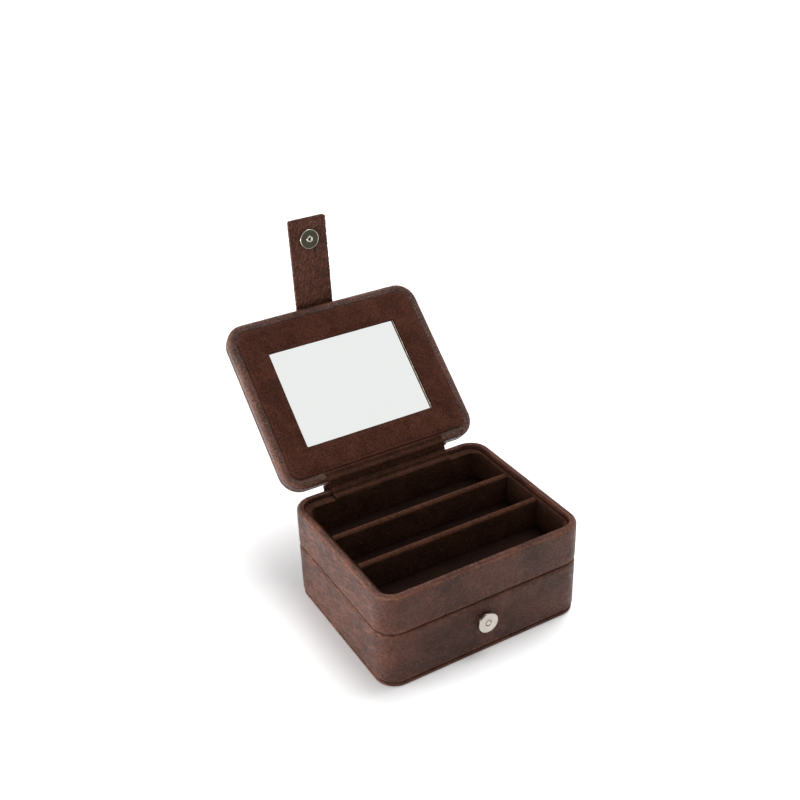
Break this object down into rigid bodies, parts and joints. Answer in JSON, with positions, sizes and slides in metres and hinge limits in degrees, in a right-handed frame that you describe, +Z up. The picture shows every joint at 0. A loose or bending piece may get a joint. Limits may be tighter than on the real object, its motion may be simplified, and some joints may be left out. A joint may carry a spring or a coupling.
{
  "type": "jewellery case",
  "caption": "Two-tier leather jewellery case with a hinged mirrored lid, a hinged channelled tray over a lower compartment tier, and a magnetic snap strap.",
  "frame": {"origin": "centre of the base panel's underside, on the table", "axes": "+Z up, -Y out of the front where the snap is, +X to the right seen from the front"},
  "size_m": [0.15, 0.2312, 0.2225],
  "materials": {
    "leather": "brown full-grain leather, worn lighter along the edges",
    "panel_leather": "the same leather wrapped round a stiff panel",
    "board": "raw fibreboard, hidden under the leather",
    "suede": "dark brown suede",
    "suede_board": "dark brown suede glued over thin board",
    "suede_foam": "dark brown suede over foam",
    "mirror": "clear silvered glass",
    "foam": "adhesive foam sheet behind the mirror",
    "nickel": "satin nickel-plated steel"
  },
  "bodies": {
    "base": {"base_panel": "panel_leather", "lower_leather_wrap": "leather", "lower_wall_board": "board", "lower_floor_pad": "suede_board", "lower_wall_lining": "suede_board", "lower_cross_divider": "suede_board", "lower_long_divider": "suede_board", "ring_roll_1": "suede_foam", "ring_roll_2": "suede_foam", "ring_roll_3": "suede_foam", "ring_roll_4": "suede_foam", "ring_roll_5": "suede_foam", "snap_cup": "nickel", "snap_face_plate": "nickel", "snap_washer": "nickel", "spine_leather": "leather"},
    "tray": {"tray_bottom_panel": "panel_leather", "tray_leather_wrap": "leather", "tray_wall_board": "board", "tray_floor_pad": "suede_board", "tray_wall_lining": "suede_board", "divider_rear": "suede_board", "divider_front": "suede_board", "lid_hinge_leather": "leather", "lid_hinge_lining": "suede"},
    "lid": {"lid_frame_leather": "leather", "lid_board": "board", "lid_outer_panel": "panel_leather", "lid_pad": "suede_board", "mirror": "mirror", "mirror_adhesive": "foam", "strap_anchor": "leather"},
    "strap": {"strap_inner_leather": "leather", "strap_outer_leather": "leather", "strap_snap_disc": "nickel", "strap_snap_rivet": "nickel"}
  },
  "joints": [
    {"name": "tray_hinge", "type": "hinge", "parent": "base", "child": "tray", "pos_m": [0, 0.0635, 0.0409], "axis": [-1, 0, 0], "range_deg": [0, 60], "deforming": ["spine_leather"]},
    {"name": "lid_hinge", "type": "hinge", "parent": "tray", "child": "lid", "pos_m": [0, 0.06305, 0.0739], "axis": [1, 0, 0], "range_deg": [0, 138], "deforming": ["lid_hinge_leather", "lid_hinge_lining"]},
    {"name": "strap_flex", "type": "hinge", "parent": "lid", "child": "strap", "pos_m": [0, 0.16008, 0.15582], "axis": [1, 0, 0], "range_deg": [-45, 37]}
  ]
}
